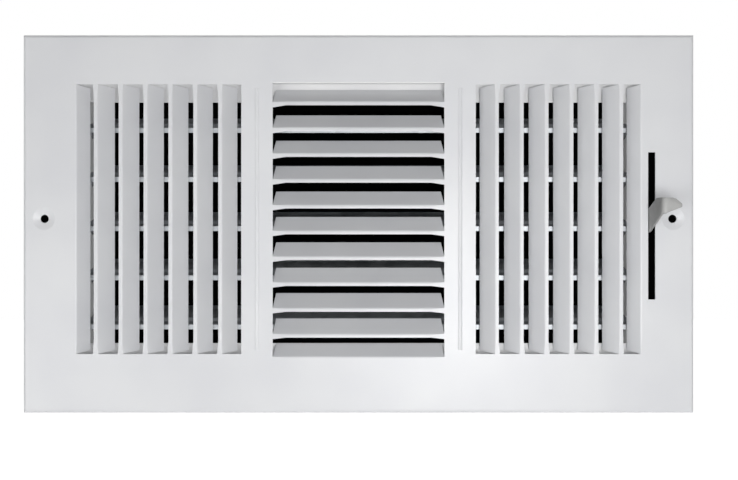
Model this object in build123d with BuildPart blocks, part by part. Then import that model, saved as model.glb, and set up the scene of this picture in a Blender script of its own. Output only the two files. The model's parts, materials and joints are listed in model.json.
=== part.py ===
from build123d import *
import os
from math import cos, radians, sin, tan

# Sidewall register: a stamped three-way face in front of a five-blade damper.
# Frame: origin at the middle of the wall plane, X to the right, Z up, the face looks towards -Y.

# Duct opening that the register covers
duct_width = 304.8
duct_height = 152.4

# Face sheet and its turned-back rim
face_margin = 22.225
rim_depth = 5.0
rim_radius = 2.0
sheet = 0.7

# Louvre section: a raised lip in front, a bend, then a slope that goes back behind the face
lip_rise = 1.7
lip_set = 1.2
lip_width = 1.8
lip_radius = 1.6
bend_steps = 3
lip_ramp = 7.0
end_relief = 1.2
shear_gap = 0.25

# Side banks, which throw to the left and to the right
side_count = 7
side_pitch = 12.9
side_margin = 1.1
side_trim = 6.1
side_height = 2.5
side_rear = 10.1
side_drop = 6.5

# Middle bank, which throws down
middle_count = 11
middle_margin = 2.55
middle_height = 0.15
middle_rear = 10.3
middle_drop = 7.4

# Lands between the banks, each with a stiffening bead
land_width = 16.35
bead_width = 2.2
bead_rise = 0.5
bead_trim = 2.0

# Dimpled screw holes
screw_inset = 10.975
screw_height = 2.7
screw_radius = 2.15
dimple_radius = 5.8
dimple_depth = 1.3

# Lever slot
slot_outset = 0.1
slot_width = 3.7
slot_length = 76.6
slot_height = -1.0

# Damper frame
frame_height = 0.6
frame_behind_face = 8.2
frame_depth = 31.0
frame_sheet = 0.8
frame_bend = 1.4
frame_side_gap = 3.2
frame_top_gap = 2.0
flange_width = 10.6
return_length = 12.0
foot_reach = 10.8
foot_width = 18.0
foot_inset = 19.2

# Damper blades
blade_count = 5
blade_row_trim = 9.2
blade_overlap = 2.0
blade_sheet = 0.6
blade_tilt = 14.0
blade_lift = 2.7
blade_nose = 0.4
blade_nose_drop = 2.0
blade_lip = 2.6
blade_lip_rise = 1.2
blade_bead_at = 6.5
blade_bead_half = 2.2
blade_bead_rise = 1.1
blade_end_gap = 3.9
ear_half = 4.2
ear_corner = 1.6

# Blade pivots
pivot_behind_face = 23.0
pivot_row_height = -1.0
journal_radius = 1.6
collar_radius = 2.6
collar_sides = 6
running_clearance = 0.05
end_play = 0.3
journal_tail = 0.9

# Link between the blades
crank_radius = 10.5
crank_angle = -8.0
link_width = 7.0
link_sheet = 1.0
link_gap = 0.5
link_end = 5.0
link_corner = 1.8
pin_radius = 1.5
pin_tail = 1.6
pin_reach = 1.0
fixed_clearance = 0.02

# Control lever
lever_sheet = 1.0
lever_bend = 2.4
hub_radius = 5.2
square_size = 2.2
rivet_radius = 2.8
rivet_height = 0.9
slot_side_gap = 0.4
joggle_back = 9.0
joggle_front = 3.0
lever_reach = 22.0
root_low = -4.2
root_high = 8.5
shoulder_reach = 15.0
tab_low = 5.6
tab_high = 14.2
tab_length = 10.0
tip_run = 3.0
tip_shoulder = 12.6
tip_low = 8.5
tip_high = 10.1
tip_radius = 0.7

# Worked out from the sizes above
plate_width = duct_width + 2 * face_margin
plate_height = duct_height + 2 * face_margin
face_front = -rim_depth
face_back = face_front + sheet
side_field = side_count * side_pitch
side_outer = duct_width / 2 - side_margin
side_inner = side_outer - side_field
side_length = duct_height - 2 * side_trim
side_low = side_height - side_length / 2
side_high = side_height + side_length / 2
middle_length = 2 * (side_inner - land_width)
middle_field = duct_height - 2 * middle_margin
middle_pitch = middle_field / middle_count
middle_bottom = middle_height - middle_field / 2
bead_offset = side_inner - land_width / 2
bead_length = side_length - 2 * bead_trim
screw_offset = plate_width / 2 - screw_inset
slot_offset = duct_width / 2 + slot_outset
frame_front = face_front + frame_behind_face
frame_back = frame_front + frame_depth
web_top = duct_height / 2 - frame_top_gap
return_top = web_top + frame_sheet
foot_height = web_top - foot_inset
end_outer = duct_width / 2 - frame_side_gap
end_inner = end_outer - frame_sheet
rail_half = end_outer - frame_bend
blade_pitch = 2 * (web_top - blade_row_trim) / blade_count
blade_width = blade_pitch + blade_overlap
blade_end = end_inner - blade_end_gap
blade_half = blade_end - blade_sheet
blade_slope = radians(blade_tilt)
ear_top = blade_lift + blade_sheet
pivot_y = face_front + pivot_behind_face
middle_blade = (blade_count + 1) // 2
pivot_heights = [
    pivot_row_height + blade_pitch * (middle_blade - number) for number in range(1, blade_count + 1)
]
collar_end = end_inner - end_play
journal_end = end_outer + journal_tail
crank_y = crank_radius * cos(radians(crank_angle))
crank_z = crank_radius * sin(radians(crank_angle))
pin_across = crank_radius * cos(radians(crank_angle - blade_tilt))
pin_up = crank_radius * sin(radians(crank_angle - blade_tilt))
pin_places = [(pivot_y + crank_y, height + crank_z) for height in pivot_heights]
link_inner = blade_end + link_gap
link_outer = link_inner + link_sheet
link_length = blade_pitch * (blade_count - 1) + 2 * link_end
lever_pivot = pivot_heights[middle_blade - 1]
lever_inner = slot_offset - slot_width / 2 + slot_side_gap
tab_front = face_front - lever_reach
tab_end = lever_inner + tab_length

os.makedirs("parts", exist_ok=True)


def write(piece, name):
    piece.label = name
    export_step(piece, f"parts/{name}.step")


def flat_face(*corners):
    return Face(Wire.make_polygon(corners, close=True))


def louvre_lines(rise, front, bend_at, rear, drop):
    # The section's front surface from the lip to the rear edge, and the same line one sheet behind.
    slope = Vector(1, 0).get_angle(Vector(rear - bend_at, drop + rise))
    setback = lip_radius * tan(radians(slope / 2))
    centre = Vector(bend_at - setback, lip_radius - rise)
    turns = [radians(slope * step / bend_steps) for step in range(bend_steps + 1)]
    ways = [Vector(sin(turn), -cos(turn)) for turn in turns]
    lip_edge = Vector(front, -rise)
    rear_edge = Vector(rear, drop)
    front_line = [lip_edge] + [centre + way * lip_radius for way in ways] + [rear_edge]
    back_bend = [centre + way * (lip_radius - sheet) for way in ways]
    back_line = [lip_edge - ways[0] * sheet] + back_bend + [rear_edge - ways[-1] * sheet]
    return front_line, back_line


def louvre(length, rear, drop, cut_in_front):
    # One lanced louvre: X runs across it, Y goes back from the face, Z is its length. At both ends
    # the lip comes up out of the flat sheet on a ramp, and the slope is cut free of the sheet.
    rise, front, flat_front = lip_rise, lip_set, shear_gap
    bend_at = lip_set + lip_width
    if not cut_in_front:
        bend_at += (rear - bend_at) * lip_rise / (lip_rise + drop)
        rise, front, flat_front = 0, 0, 0
    faces = []
    outlines = []
    for depth, line in zip((0, sheet), louvre_lines(rise, front, bend_at, rear, drop)):
        ramps = [lip_ramp] * (len(line) - 1) + [end_relief]
        ends = []
        for root, way in ((0, 1), (length, -1)):
            flat = [Vector(stop, depth, root) for stop in (flat_front, bend_at)]
            rib = [Vector(point.X, point.Y, root + way * ramp) for point, ramp in zip(line, ramps)]
            faces.append(flat_face(flat[0], flat[1], rib[0]))
            faces.extend(flat_face(flat[1], begin, stop) for begin, stop in zip(rib, rib[1:]))
            ends.append((flat, rib))
        (low, low_rib), (high, high_rib) = ends
        bands = list(zip(low_rib, high_rib))
        for (low_begin, high_begin), (low_stop, high_stop) in zip(bands, bands[1:]):
            faces.append(flat_face(low_begin, low_stop, high_begin))
            faces.append(flat_face(low_stop, high_stop, high_begin))
        rear_corners = [low_rib[-1], high_rib[-1]]
        front_corners = [high_rib[0], low_rib[0]]
        outlines.append(low + rear_corners + high[::-1] + front_corners)
    rim = list(zip(*outlines))
    for (front_begin, back_begin), (front_stop, back_stop) in zip(rim, rim[1:] + rim[:1]):
        faces.append(flat_face(front_begin, front_stop, back_stop))
        faces.append(flat_face(front_begin, back_stop, back_begin))
    with BuildPart() as strip:
        add(Solid(Shell(faces)))
    return strip.part


# Louvres of each bank, the outermost one without a cut in front of its lip
side_sizes = (side_length, side_rear, side_drop)
middle_sizes = (middle_length, middle_rear, middle_drop)
side_louvre = louvre(*side_sizes, cut_in_front=True)
side_end_louvre = louvre(*side_sizes, cut_in_front=False)
middle_louvre = louvre(*middle_sizes, cut_in_front=True)
middle_end_louvre = louvre(*middle_sizes, cut_in_front=False)

louvres = []
for row in range(side_count):
    piece = side_louvre if row else side_end_louvre
    step = side_outer - row * side_pitch
    louvres.append(piece.moved(Location((-step, face_front, side_low))))
    louvres.append(piece.moved(Location((step, face_front, side_high), (0, 180, 0))))
for row in range(middle_count):
    piece = middle_louvre if row else middle_end_louvre
    height = middle_bottom + row * middle_pitch
    louvres.append(piece.moved(Location((middle_length / 2, face_front, height), (0, -90, 0))))

# Face plate: folded tray, cut fields, formed louvres, beads, dimples and slot
with BuildPart() as face_plate:
    with Locations((0, -rim_depth / 2, 0)):
        Box(plate_width, rim_depth, plate_height)
    fillet(face_plate.faces().sort_by(Axis.Y)[0].edges(), radius=rim_radius)
    offset(amount=-sheet, openings=face_plate.faces().sort_by(Axis.Y)[-1])
    with BuildSketch(Plane.XZ.offset(rim_depth)):
        with Locations((-side_inner - side_field / 2, side_height), (side_inner + side_field / 2, side_height)):
            Rectangle(side_field, side_length)
        with Locations((0, middle_height)):
            Rectangle(middle_length, middle_field)
    extrude(amount=-2 * sheet, mode=Mode.SUBTRACT)
    add(louvres)
    for bead_x in (-bead_offset, bead_offset):
        for surface, bead_mode in ((face_front, Mode.ADD), (face_back, Mode.SUBTRACT)):
            with BuildSketch(Plane.XY.offset(side_height - bead_length / 2)):
                with BuildLine():
                    bead_ends = ((bead_x - bead_width / 2, surface), (bead_x + bead_width / 2, surface))
                    ThreePointArc(bead_ends[0], (bead_x, surface - bead_rise), bead_ends[1])
                    Line(*bead_ends)
                make_face()
            extrude(amount=bead_length, mode=bead_mode)
    for screw_x in (-screw_offset, screw_offset):
        with BuildSketch(Plane.XZ.offset(rim_depth)):
            with Locations((screw_x, screw_height)):
                Circle(dimple_radius)
        extrude(amount=-2 * sheet, mode=Mode.SUBTRACT)
        with BuildSketch(Plane.XY.offset(screw_height)):
            with BuildLine():
                Polyline(
                    (screw_x + dimple_radius, face_front),
                    (screw_x + dimple_radius, face_back),
                    (screw_x + screw_radius, face_back + dimple_depth),
                    (screw_x + screw_radius, face_front + dimple_depth),
                    close=True,
                )
            make_face()
        revolve(axis=Axis((screw_x, 0, screw_height), (0, 1, 0)))
    with BuildSketch(Plane.XZ.offset(rim_depth)):
        with Locations((slot_offset, slot_height)):
            Rectangle(slot_width, slot_length)
    extrude(amount=-2 * sheet, mode=Mode.SUBTRACT)
write(face_plate.part, "face_plate")

# Damper rails with their inward front flange
with BuildPart() as top_rail:
    with BuildSketch(Plane.YZ.offset(-rail_half)):
        with BuildLine():
            FilletPolyline(
                (frame_front, frame_height + web_top - flange_width),
                (frame_front, frame_height + web_top),
                (frame_back, frame_height + web_top),
                radius=frame_bend,
            )
            offset(amount=frame_sheet, side=Side.RIGHT)
        make_face()
    extrude(amount=2 * rail_half)
with BuildPart() as bottom_rail:
    mirror(top_rail.part, about=Plane.XY.offset(frame_height))
write(top_rail.part, "damper_top_rail")
write(bottom_rail.part, "damper_bottom_rail")

# End plates: returns over the rails, feet on the back of the face, pivot holes
with BuildPart() as right_end_plate:
    with BuildSketch(Plane.XZ.offset(-frame_front)):
        with BuildLine():
            FilletPolyline(
                (end_outer - return_length, frame_height + return_top),
                (end_outer, frame_height + return_top),
                (end_outer, frame_height - return_top),
                (end_outer - return_length, frame_height - return_top),
                radius=frame_bend,
            )
            offset(amount=frame_sheet, side=Side.RIGHT)
        make_face()
    extrude(amount=-frame_depth)
    for foot_z in (frame_height - foot_height, frame_height + foot_height):
        with BuildSketch(Plane.XY.offset(foot_z - foot_width / 2)):
            with BuildLine():
                FilletPolyline(
                    (end_inner, frame_front),
                    (end_inner, face_back),
                    (end_outer + foot_reach, face_back),
                    radius=frame_bend,
                )
                offset(amount=frame_sheet, side=Side.LEFT)
            make_face()
        extrude(amount=foot_width)
    with BuildSketch(Plane.YZ.offset(end_inner)):
        with Locations([(pivot_y, height) for height in pivot_heights]):
            Circle(journal_radius + running_clearance)
    extrude(amount=frame_sheet, mode=Mode.SUBTRACT)
with BuildPart() as left_end_plate:
    mirror(right_end_plate.part, about=Plane.YZ)
write(right_end_plate.part, "right_end_plate")
write(left_end_plate.part, "left_end_plate")

# Blades: beaded strip with a turned-down nose and a rear lip, an ear at each end, the right ear with the hole for the link
pin_ear_end = pin_across + ear_half
pin_ear_low = pin_up - ear_half
for number, height in enumerate(pivot_heights, start=1):
    section = Plane(
        origin=(0, pivot_y, height),
        x_dir=(0, cos(blade_slope), sin(blade_slope)),
        z_dir=(1, 0, 0),
    )
    with BuildPart() as blade:
        with BuildSketch(section.offset(-blade_half)):
            with BuildLine():
                Polyline(
                    (-blade_width / 2, blade_lift - blade_nose_drop),
                    (-blade_width / 2 + blade_nose, blade_lift),
                    (-blade_bead_at - blade_bead_half, blade_lift),
                    (-blade_bead_at, blade_lift + blade_bead_rise),
                    (-blade_bead_at + blade_bead_half, blade_lift),
                    (blade_width / 2 - blade_lip, blade_lift),
                    (blade_width / 2, blade_lift + blade_lip_rise),
                )
                offset(amount=blade_sheet, side=Side.LEFT, kind=Kind.INTERSECTION)
            make_face()
        extrude(amount=2 * blade_half)
        with BuildSketch(section.offset(-blade_end)):
            with BuildLine():
                Polyline(
                    (-ear_half, ear_top),
                    (ear_half, ear_top),
                    (ear_half, ear_corner - ear_half),
                    (ear_half - ear_corner, -ear_half),
                    (ear_corner - ear_half, -ear_half),
                    (-ear_half, ear_corner - ear_half),
                    close=True,
                )
            make_face()
        extrude(amount=blade_sheet)
        with BuildSketch(section.offset(blade_half)):
            with BuildLine():
                Polyline(
                    (-ear_half, ear_top),
                    (pin_ear_end, ear_top),
                    (pin_ear_end, pin_ear_low + ear_corner),
                    (pin_ear_end - ear_corner, pin_ear_low),
                    (pin_across - ear_half + ear_corner, pin_ear_low),
                    (ear_corner - ear_half, -ear_half),
                    (-ear_half, ear_corner - ear_half),
                    close=True,
                )
            make_face()
            with Locations((pin_across, pin_up)):
                Circle(pin_radius + running_clearance, mode=Mode.SUBTRACT)
        extrude(amount=blade_sheet)
    write(blade.part, f"damper_blade_{number}")

# Pivot studs: a collar on the blade's ear and a journal in the end plate; one carries the lever
for number, height in enumerate(pivot_heights, start=1):
    for side, way in (("left", -1), ("right", 1)):
        carries_lever = way == 1 and number == middle_blade
        with BuildPart() as stud:
            with BuildSketch(Plane.YZ.offset(way * blade_end)):
                with Locations((pivot_y, height)):
                    RegularPolygon(collar_radius, collar_sides)
            extrude(amount=way * (collar_end - blade_end))
            with BuildSketch(Plane.YZ.offset(way * collar_end)):
                with Locations((pivot_y, height)):
                    Circle(journal_radius)
            extrude(amount=way * (journal_end - collar_end))
            if carries_lever:
                with BuildSketch(Plane.YZ.offset(journal_end)):
                    with Locations((pivot_y, height)):
                        Rectangle(square_size, square_size)
                extrude(amount=lever_sheet)
                with BuildSketch(Plane.YZ.offset(journal_end + lever_sheet)):
                    with Locations((pivot_y, height)):
                        Circle(rivet_radius)
                extrude(amount=rivet_height)
        write(stud.part, "lever_spindle" if carries_lever else f"pivot_stud_{side}_{number}")

# Link bar and its pins
with BuildPart() as link_bar:
    with BuildSketch(Plane.YZ.offset(link_inner)) as link_outline:
        with Locations(pin_places[middle_blade - 1]):
            Rectangle(link_width, link_length)
        chamfer(link_outline.vertices(), length=link_corner)
        with Locations(pin_places):
            Circle(pin_radius + fixed_clearance, mode=Mode.SUBTRACT)
    extrude(amount=link_sheet)
write(link_bar.part, "link_bar")

with BuildPart() as link_pins:
    with BuildSketch(Plane.YZ.offset(blade_half - pin_reach)):
        with Locations(pin_places):
            Circle(pin_radius)
    extrude(amount=link_outer + pin_tail - blade_half + pin_reach)
write(link_pins.part, "link_pins")

# Control lever: a strip bent in plan, trimmed to its outline from the side and from the front
with BuildPart() as control_lever:
    with BuildSketch(Plane.XY.offset(lever_pivot - tab_high)):
        with BuildLine():
            FilletPolyline(
                (journal_end, pivot_y + 2 * hub_radius),
                (journal_end, joggle_back),
                (lever_inner, joggle_front),
                (lever_inner, tab_front),
                (tab_end + tip_high, tab_front),
                radius=lever_bend,
            )
            offset(amount=lever_sheet, side=Side.LEFT)
        make_face()
    extrude(amount=2 * tab_high)
    with BuildSketch(Plane.YZ):
        with BuildLine():
            Polyline(
                (pivot_y, lever_pivot - hub_radius),
                (face_front, root_low),
                (tab_front, tab_low),
                (tab_front, tab_high),
                (face_front - shoulder_reach, tab_high),
                (face_front, root_high),
                (pivot_y, lever_pivot + hub_radius),
                close=True,
            )
        make_face()
        with Locations((pivot_y, lever_pivot)):
            Circle(hub_radius)
            Rectangle(square_size, square_size, mode=Mode.SUBTRACT)
    extrude(amount=plate_width / 2, mode=Mode.INTERSECT)
    with BuildSketch(Plane.XZ.offset(-frame_back)) as front_outline:
        with BuildLine():
            Polyline(
                (end_outer, lever_pivot - tab_high),
                (lever_inner + lever_bend, lever_pivot - tab_high),
                (lever_inner + lever_bend, tab_low),
                (tab_end, tip_low),
                (tab_end, tip_high),
                (tab_end - tip_run, tip_shoulder),
                (lever_inner + lever_bend, tab_high),
                (end_outer, tab_high),
                close=True,
            )
        make_face()
        fillet(front_outline.vertices().group_by(Axis.X)[-1], radius=tip_radius)
    extrude(amount=frame_back - tab_front, mode=Mode.INTERSECT)
write(control_lever.part, "control_lever")
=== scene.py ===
import bpy
import json
import math
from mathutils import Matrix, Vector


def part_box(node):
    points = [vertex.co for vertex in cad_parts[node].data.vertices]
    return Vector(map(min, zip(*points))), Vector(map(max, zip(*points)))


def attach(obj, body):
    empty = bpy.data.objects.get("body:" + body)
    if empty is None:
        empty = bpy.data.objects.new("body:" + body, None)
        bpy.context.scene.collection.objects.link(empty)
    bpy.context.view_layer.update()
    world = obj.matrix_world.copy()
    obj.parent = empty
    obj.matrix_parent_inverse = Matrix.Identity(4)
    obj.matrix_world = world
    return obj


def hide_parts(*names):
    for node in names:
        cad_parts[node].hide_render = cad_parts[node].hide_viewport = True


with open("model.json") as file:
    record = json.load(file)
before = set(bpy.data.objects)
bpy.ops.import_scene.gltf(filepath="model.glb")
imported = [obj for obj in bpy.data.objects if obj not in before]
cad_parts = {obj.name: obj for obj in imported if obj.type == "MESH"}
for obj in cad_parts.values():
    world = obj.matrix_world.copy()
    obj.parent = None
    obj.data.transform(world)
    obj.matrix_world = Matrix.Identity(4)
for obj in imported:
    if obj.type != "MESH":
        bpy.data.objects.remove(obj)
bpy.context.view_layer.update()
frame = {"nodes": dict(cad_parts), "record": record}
cadNodes = frame["nodes"]
bladeNumbers = range(1, 6)
print("frame loaded:", len(cadNodes), "nodes")


# sRGB hex to the linear colour that shader sockets want
def linearColour(hexText):
    channels = [int(hexText[i:i + 2], 16) / 255 for i in (1, 3, 5)]
    return [c / 12.92 if c <= 0.04045 else ((c + 0.055) / 1.055) ** 2.4 for c in channels] + [1.0]


# one node with its settings and links; a link is (from node, from socket)
def addNode(tree, kind, settings=None, **links):
    node = tree.nodes.new(kind)
    for name, value in (settings or {}).items():
        if name in node.inputs:
            node.inputs[name].default_value = value
        else:
            setattr(node, name, value)
    for socket, (source, output) in links.items():
        tree.links.new(source.outputs[output], node.inputs[socket.replace("_", " ")])
    return node


def newFinish(name, look):
    material = bpy.data.materials.new(name)
    material.use_nodes = True
    shader = material.node_tree.nodes["Principled BSDF"]
    shader.inputs["Base Color"].default_value = linearColour(look["colour"])
    for socket in ("Metallic", "Roughness", "IOR"):
        if socket in look:
            shader.inputs[socket].default_value = look[socket]
    return material, material.node_tree, shader


# features per metre for a texture whose spots should be this many mm across
def patternScale(sizeMm):
    return 1000 / sizeMm


# Powder-coated steel: cured polyester powder, semi-gloss, with the faint orange peel of the melted grains
powderCoat = {"colour": "#E4E5E7", "Roughness": 0.33, "IOR": 1.5, "peelMm": 1.6, "peelDepth": 0.00002,
              "peelStrength": 0.35, "thinMm": 34.0, "thinColour": "#DFE0E3", "thinFrom": 0.3, "thinTo": 0.65}


def powderCoatFinish(name, look):
    material, tree, shader = newFinish(name, look)
    place = addNode(tree, "ShaderNodeTexCoord")
    peel = addNode(tree, "ShaderNodeTexNoise", {"Scale": patternScale(look["peelMm"]), "Detail": 2.0},
                   Vector=(place, "Object"))
    bump = addNode(tree, "ShaderNodeBump", {"Strength": look["peelStrength"], "Distance": look["peelDepth"]},
                   Height=(peel, "Fac"))
    tree.links.new(bump.outputs["Normal"], shader.inputs["Normal"])
    # the coat lies a little thinner in broad, soft patches
    cover = addNode(tree, "ShaderNodeTexNoise", {"Scale": patternScale(look["thinMm"]), "Detail": 1.0},
                    Vector=(place, "Object"))
    ramp = addNode(tree, "ShaderNodeValToRGB", {}, Fac=(cover, "Fac"))
    ramp.color_ramp.elements[0].position = look["thinFrom"]
    ramp.color_ramp.elements[0].color = linearColour(look["thinColour"])
    ramp.color_ramp.elements[1].position = look["thinTo"]
    ramp.color_ramp.elements[1].color = linearColour(look["colour"])
    tree.links.new(ramp.outputs["Color"], shader.inputs["Base Color"])
    return material


# Galvanised steel: hot-dip zinc, dull grey crystals a few mm across, each with its own tone and gloss
galvanised = {"colour": "#B8BBBE", "darkColour": "#9A9DA1", "Metallic": 1.0, "spangleMm": 7.0,
              "darkTo": 0.25, "lightFrom": 0.75, "roughLow": 0.42, "roughHigh": 0.6}

# Zinc plate on a stamped lever: finer, and dulled to an even grey by the passivation bath
zincPlate = {"colour": "#A6A6A5", "darkColour": "#9A9A99", "Metallic": 0.35, "spangleMm": 3.2,
             "darkTo": 0.25, "lightFrom": 0.75, "roughLow": 0.5, "roughHigh": 0.62}


def zincFinish(name, look):
    material, tree, shader = newFinish(name, look)
    place = addNode(tree, "ShaderNodeTexCoord")
    crystals = addNode(tree, "ShaderNodeTexVoronoi", {"Scale": patternScale(look["spangleMm"])},
                       Vector=(place, "Object"))
    clouds = addNode(tree, "ShaderNodeTexNoise", {"Scale": patternScale(look["spangleMm"]), "Detail": 3.0},
                     Vector=(place, "Object"))
    tone = addNode(tree, "ShaderNodeMix", {"data_type": "FLOAT", "Factor": 0.5})
    tree.links.new(crystals.outputs["Color"], tone.inputs["A"])
    tree.links.new(clouds.outputs["Fac"], tone.inputs["B"])
    ramp = addNode(tree, "ShaderNodeValToRGB", {}, Fac=(tone, "Result"))
    ramp.color_ramp.elements[0].position = look["darkTo"]
    ramp.color_ramp.elements[0].color = linearColour(look["darkColour"])
    ramp.color_ramp.elements[1].position = look["lightFrom"]
    ramp.color_ramp.elements[1].color = linearColour(look["colour"])
    gloss = addNode(tree, "ShaderNodeMapRange", {"To Min": look["roughLow"], "To Max": look["roughHigh"]},
                    Value=(tone, "Result"))
    tree.links.new(ramp.outputs["Color"], shader.inputs["Base Color"])
    tree.links.new(gloss.outputs["Result"], shader.inputs["Roughness"])
    return material


# Turned mild steel pins: bright, with fine rings left by the lathe tool round the X axis
turnedSteel = {"colour": "#B9BABC", "Metallic": 1.0, "Roughness": 0.3, "ringMm": 0.25, "ringDepth": 0.000012,
               "ringStrength": 0.3}


def turnedFinish(name, look):
    material, tree, shader = newFinish(name, look)
    place = addNode(tree, "ShaderNodeTexCoord")
    ringScale = patternScale(look["ringMm"]) * 2 * math.pi / 20  # a wave at scale 1 repeats 20 / (2 pi) times
    rings = addNode(tree, "ShaderNodeTexWave", {"Scale": ringScale, "bands_direction": "X"},
                    Vector=(place, "Object"))
    bump = addNode(tree, "ShaderNodeBump", {"Strength": look["ringStrength"], "Distance": look["ringDepth"]},
                   Height=(rings, "Fac"))
    tree.links.new(bump.outputs["Normal"], shader.inputs["Normal"])
    return material


# the frame is satin, without the face's gloss; its white is set a little brighter than the face's as painted
# light, so that the flange behind the slots looks lit
framePaintWithPaintedLight = dict(powderCoat, colour="#E9E9E9", thinColour="#E1E1E2", Roughness=0.45)
finishes = {
    "white_enamel": powderCoatFinish("whitePowderCoat", powderCoat),
    "frame_enamel": powderCoatFinish("framePowderCoat", framePaintWithPaintedLight),
    "blade_steel": zincFinish("galvanisedBlade", galvanised),
    "zinc_steel": zincFinish("zincPlatedLever", zincPlate),
    "bright_steel": turnedFinish("turnedPins", turnedSteel),
}
print("finishes made:", len(finishes))

# folds of pressed sheet have soft edges: each sheet piece is a copy of its CAD node with the edges eased
sheetEdges = {
    "face_plate": {"body": "register", "slot": "white_enamel", "easeMm": 0.3, "steps": 3},
    "damper_top_rail": {"body": "register", "slot": "frame_enamel", "easeMm": 0.15, "steps": 2},
    "damper_bottom_rail": {"body": "register", "slot": "frame_enamel", "easeMm": 0.15, "steps": 2},
    "left_end_plate": {"body": "register", "slot": "frame_enamel", "easeMm": 0.15, "steps": 2},
    "right_end_plate": {"body": "register", "slot": "frame_enamel", "easeMm": 0.15, "steps": 2},
    "control_lever": {"body": "blade_3", "slot": "zinc_steel", "easeMm": 0.2, "steps": 2, "flat": False},
}
for number in bladeNumbers:
    sheetEdges[f"damper_blade_{number}"] = {"body": f"blade_{number}", "slot": "blade_steel", "easeMm": 0.22,
                                            "steps": 2}
sheetWork = {"mergeMm": 0.002, "flatDegrees": 1.0, "easeDegrees": 14.0, "smoothDegrees": 40.0}


def easedSheet(nodeName, edges):
    node = cadNodes[nodeName]
    piece = node.copy()
    piece.data = node.data.copy()
    piece.name = nodeName.replace("_", " ").title().replace(" ", "") + "Eased"
    piece.parent = None
    bpy.context.collection.objects.link(piece)
    bpy.ops.object.select_all(action="DESELECT")
    piece.select_set(True)
    bpy.context.view_layer.objects.active = piece
    bpy.ops.object.mode_set(mode="EDIT")
    bpy.ops.mesh.select_all(action="SELECT")
    bpy.ops.mesh.remove_doubles(threshold=sheetWork["mergeMm"] / 1000)
    bpy.ops.mesh.dissolve_limited(angle_limit=math.radians(sheetWork["flatDegrees"]))
    bpy.ops.object.mode_set(mode="OBJECT")
    ease = piece.modifiers.new("ease", "BEVEL")
    ease.width = edges["easeMm"] / 1000
    ease.segments = edges["steps"]
    ease.limit_method = "ANGLE"
    ease.angle_limit = math.radians(sheetWork["easeDegrees"])
    bpy.ops.object.modifier_apply(modifier="ease")
    bpy.ops.object.shade_smooth_by_angle(angle=math.radians(sheetWork["smoothDegrees"]))
    if edges.get("flat", True):  # broad faces keep their own normal
        flatten = piece.modifiers.new("flatten", "WEIGHTED_NORMAL")
        flatten.weight = 100
        flatten.keep_sharp = True
        bpy.ops.object.modifier_apply(modifier="flatten")
    piece.data.materials.clear()
    piece.data.materials.append(finishes[edges["slot"]])
    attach(piece, edges["body"])
    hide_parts(nodeName)


for nodeName, edges in sheetEdges.items():
    easedSheet(nodeName, edges)
print("sheet pieces eased:", len(sheetEdges))

# the pins, studs and link bar stay as they are and take their finishes
slotOfNode = {row["node"]: row["material_slot"] for row in frame["record"]["subparts"]}
for nodeName, node in cadNodes.items():
    if nodeName not in sheetEdges:
        node.data.materials.clear()
        node.data.materials.append(finishes[slotOfNode[nodeName]])
print("finishes given to the other nodes")

# camera: straight in front of the plate's middle, shifted to the photograph's framing
photo = {"width": 738, "height": 480, "plateCentre": (358.5, 224.0), "plateWidthPx": 669.0}
shot = {"distance": 0.5, "faceY": -0.005, "rimBehind": 0.002, "sensorMm": 36.0}
plateLow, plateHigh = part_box("face_plate")
plateWidth = plateHigh[0] - plateLow[0]
spanWidth = plateWidth * photo["width"] / photo["plateWidthPx"]
cameraData = bpy.data.cameras.new("photoCamera")
cameraData.sensor_width = shot["sensorMm"]
cameraData.lens = shot["sensorMm"] * (shot["distance"] + shot["rimBehind"]) / spanWidth
cameraData.shift_x = (photo["width"] / 2 - photo["plateCentre"][0]) / photo["width"]
cameraData.shift_y = -(photo["height"] / 2 - photo["plateCentre"][1]) / photo["width"]
camera = bpy.data.objects.new("photoCamera", cameraData)
camera.location = (0, shot["faceY"] - shot["distance"], 0)
camera.rotation_euler = (math.radians(90), 0, 0)
bpy.context.collection.objects.link(camera)
bpy.context.scene.camera = camera

# floor: pale paper; what the camera and mirrors see of it is lifted to white, and its shadows stay
floorPaper = {"size": 6.0, "below": 0.35, "colour": "#F4F4F4", "roughness": 0.9, "lift": 0.85}


# 1 for rays that come straight from the camera, from a glossy surface or through glass
def seenRays(tree):
    rays = addNode(tree, "ShaderNodeLightPath")
    mirrored = addNode(tree, "ShaderNodeMath", {"operation": "MAXIMUM"})
    tree.links.new(rays.outputs["Is Glossy Ray"], mirrored.inputs[0])
    tree.links.new(rays.outputs["Is Transmission Ray"], mirrored.inputs[1])
    seen = addNode(tree, "ShaderNodeMath", {"operation": "MAXIMUM"})
    tree.links.new(rays.outputs["Is Camera Ray"], seen.inputs[0])
    tree.links.new(mirrored.outputs["Value"], seen.inputs[1])
    return seen


def floorMaterial():
    material = bpy.data.materials.new("studioPaper")
    material.use_nodes = True
    tree = material.node_tree
    paper = tree.nodes["Principled BSDF"]
    paper.inputs["Base Color"].default_value = linearColour(floorPaper["colour"])
    paper.inputs["Roughness"].default_value = floorPaper["roughness"]
    strength = addNode(tree, "ShaderNodeMath", {"operation": "MULTIPLY"})
    strength.inputs[1].default_value = floorPaper["lift"]
    tree.links.new(seenRays(tree).outputs["Value"], strength.inputs[0])
    lift = addNode(tree, "ShaderNodeEmission", {"Color": (1, 1, 1, 1)}, Strength=(strength, "Value"))
    both = addNode(tree, "ShaderNodeAddShader")
    tree.links.new(paper.outputs["BSDF"], both.inputs[0])
    tree.links.new(lift.outputs["Emission"], both.inputs[1])
    tree.links.new(both.outputs["Shader"], tree.nodes["Material Output"].inputs["Surface"])
    return material


bpy.ops.object.select_all(action="DESELECT")
bpy.ops.mesh.primitive_plane_add(size=floorPaper["size"], location=(0, 0, -floorPaper["below"]))
floor = bpy.context.object
floor.name = "studioFloor"
floor.data.materials.append(floorMaterial())
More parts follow.
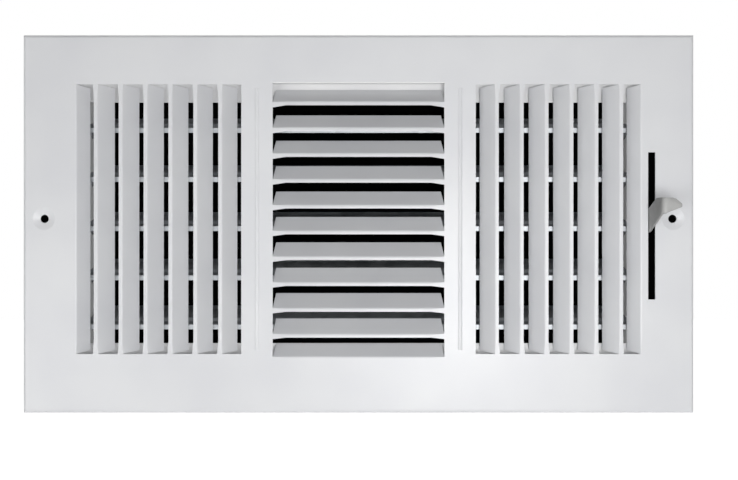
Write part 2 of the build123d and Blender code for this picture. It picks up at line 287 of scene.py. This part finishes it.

# painted shade for the duct's unlit inside that the register stands in front of: near-black cards just behind
# the rim and at the damper's back, with one dark side, towards the room, and no shadow, so that the damper
# can be seen from behind
paintedShadeCards = {"colour": "#050505", "wallHalf": (0.1722, 0.0962), "holeHalf": (0.1499, 0.0762), "backY": 0.0341,
        "wallY": 0.0001, "cornerMargin": 0.001}


def paintedShadeMaterial():
    material = bpy.data.materials.new("darkDuct")
    material.use_nodes = True
    tree = material.node_tree
    dark = tree.nodes["Principled BSDF"]
    # the near-black colour is painted shade: it stands for the unlit inside of the duct
    dark.inputs["Base Color"].default_value = linearColour(paintedShadeCards["colour"])
    dark.inputs["Roughness"].default_value = 1.0
    dark.inputs["Specular IOR Level"].default_value = 0.0
    side = addNode(tree, "ShaderNodeNewGeometry")
    clear = addNode(tree, "ShaderNodeBsdfTransparent")
    seen = addNode(tree, "ShaderNodeMixShader", Fac=(side, "Backfacing"))
    tree.links.new(dark.outputs["BSDF"], seen.inputs[1])
    tree.links.new(clear.outputs["BSDF"], seen.inputs[2])
    tree.links.new(seen.outputs["Shader"], tree.nodes["Material Output"].inputs["Surface"])
    return material


def paintedShadeCard(name, y, half):
    bpy.ops.object.select_all(action="DESELECT")
    bpy.ops.mesh.primitive_plane_add(size=2, location=(0, y, 0), rotation=(math.radians(90), 0, 0))
    card = bpy.context.object
    card.name = name
    card.scale = (half[0], half[1], 1)
    bpy.ops.object.transform_apply(location=True, rotation=True, scale=True)
    card.data.materials.append(darkDuct)
    card.visible_shadow = False
    return card


darkDuct = paintedShadeMaterial()
paintedShadeCard("ductBack", paintedShadeCards["backY"], paintedShadeCards["holeHalf"])
paintedShadeRingCard = paintedShadeCard("wallRing", paintedShadeCards["wallY"], paintedShadeCards["wallHalf"])
bpy.ops.object.mode_set(mode="EDIT")
bpy.ops.mesh.inset(thickness=paintedShadeCards["wallHalf"][0] - paintedShadeCards["holeHalf"][0])
bpy.ops.mesh.delete(type="FACE")
bpy.ops.object.mode_set(mode="OBJECT")
for corner in paintedShadeRingCard.data.vertices:  # the hole's own height
    if abs(corner.co.x) < paintedShadeCards["holeHalf"][0] + paintedShadeCards["cornerMargin"]:
        corner.co.z = math.copysign(paintedShadeCards["holeHalf"][1], corner.co.z)

# soft light: a panel by the camera that glows on the face, broad ones at both sides, one for the back,
# and an even room
panels = {
    "underCamera": {"place": (0.11, -0.62, -0.09), "size": 0.2, "watts": 1.8},
    "lowLeft": {"place": (-0.6, -0.85, -0.3), "size": 0.5, "watts": 3.6},
    "right": {"place": (0.85, -0.85, -0.1), "size": 0.6, "watts": 0.5},
    "behind": {"place": (0.0, 0.95, 0.08), "size": 0.8, "watts": 5.5},
}
for panelName, panel in panels.items():
    lampData = bpy.data.lights.new(panelName, "AREA")
    lampData.size = panel["size"]
    lampData.energy = panel["watts"]
    lamp = bpy.data.objects.new(panelName, lampData)
    lamp.location = panel["place"]
    aim = -lamp.location
    lamp.rotation_euler = aim.to_track_quat("-Z", "Y").to_euler()
    bpy.context.collection.objects.link(lamp)

room = {"colour": "#FFFFFF", "strength": 0.2}
world = bpy.data.worlds.new("studioRoom")
bpy.context.scene.world = world
world.use_nodes = True
roomTree = world.node_tree
roomLight = roomTree.nodes["Background"]
roomLight.inputs["Color"].default_value = linearColour(room["colour"])
roomLight.inputs["Strength"].default_value = room["strength"]
whiteRoom = addNode(roomTree, "ShaderNodeBackground", {"Color": (1, 1, 1, 1), "Strength": 1.0})
roomMix = addNode(roomTree, "ShaderNodeMixShader", Fac=(seenRays(roomTree), "Value"))
roomTree.links.new(roomLight.outputs["Background"], roomMix.inputs[1])
roomTree.links.new(whiteRoom.outputs["Background"], roomMix.inputs[2])
roomTree.links.new(roomMix.outputs["Shader"], roomTree.nodes["World Output"].inputs["Surface"])
bpy.context.scene.view_settings.view_transform = "Standard"
print("camera, floor and light placed")
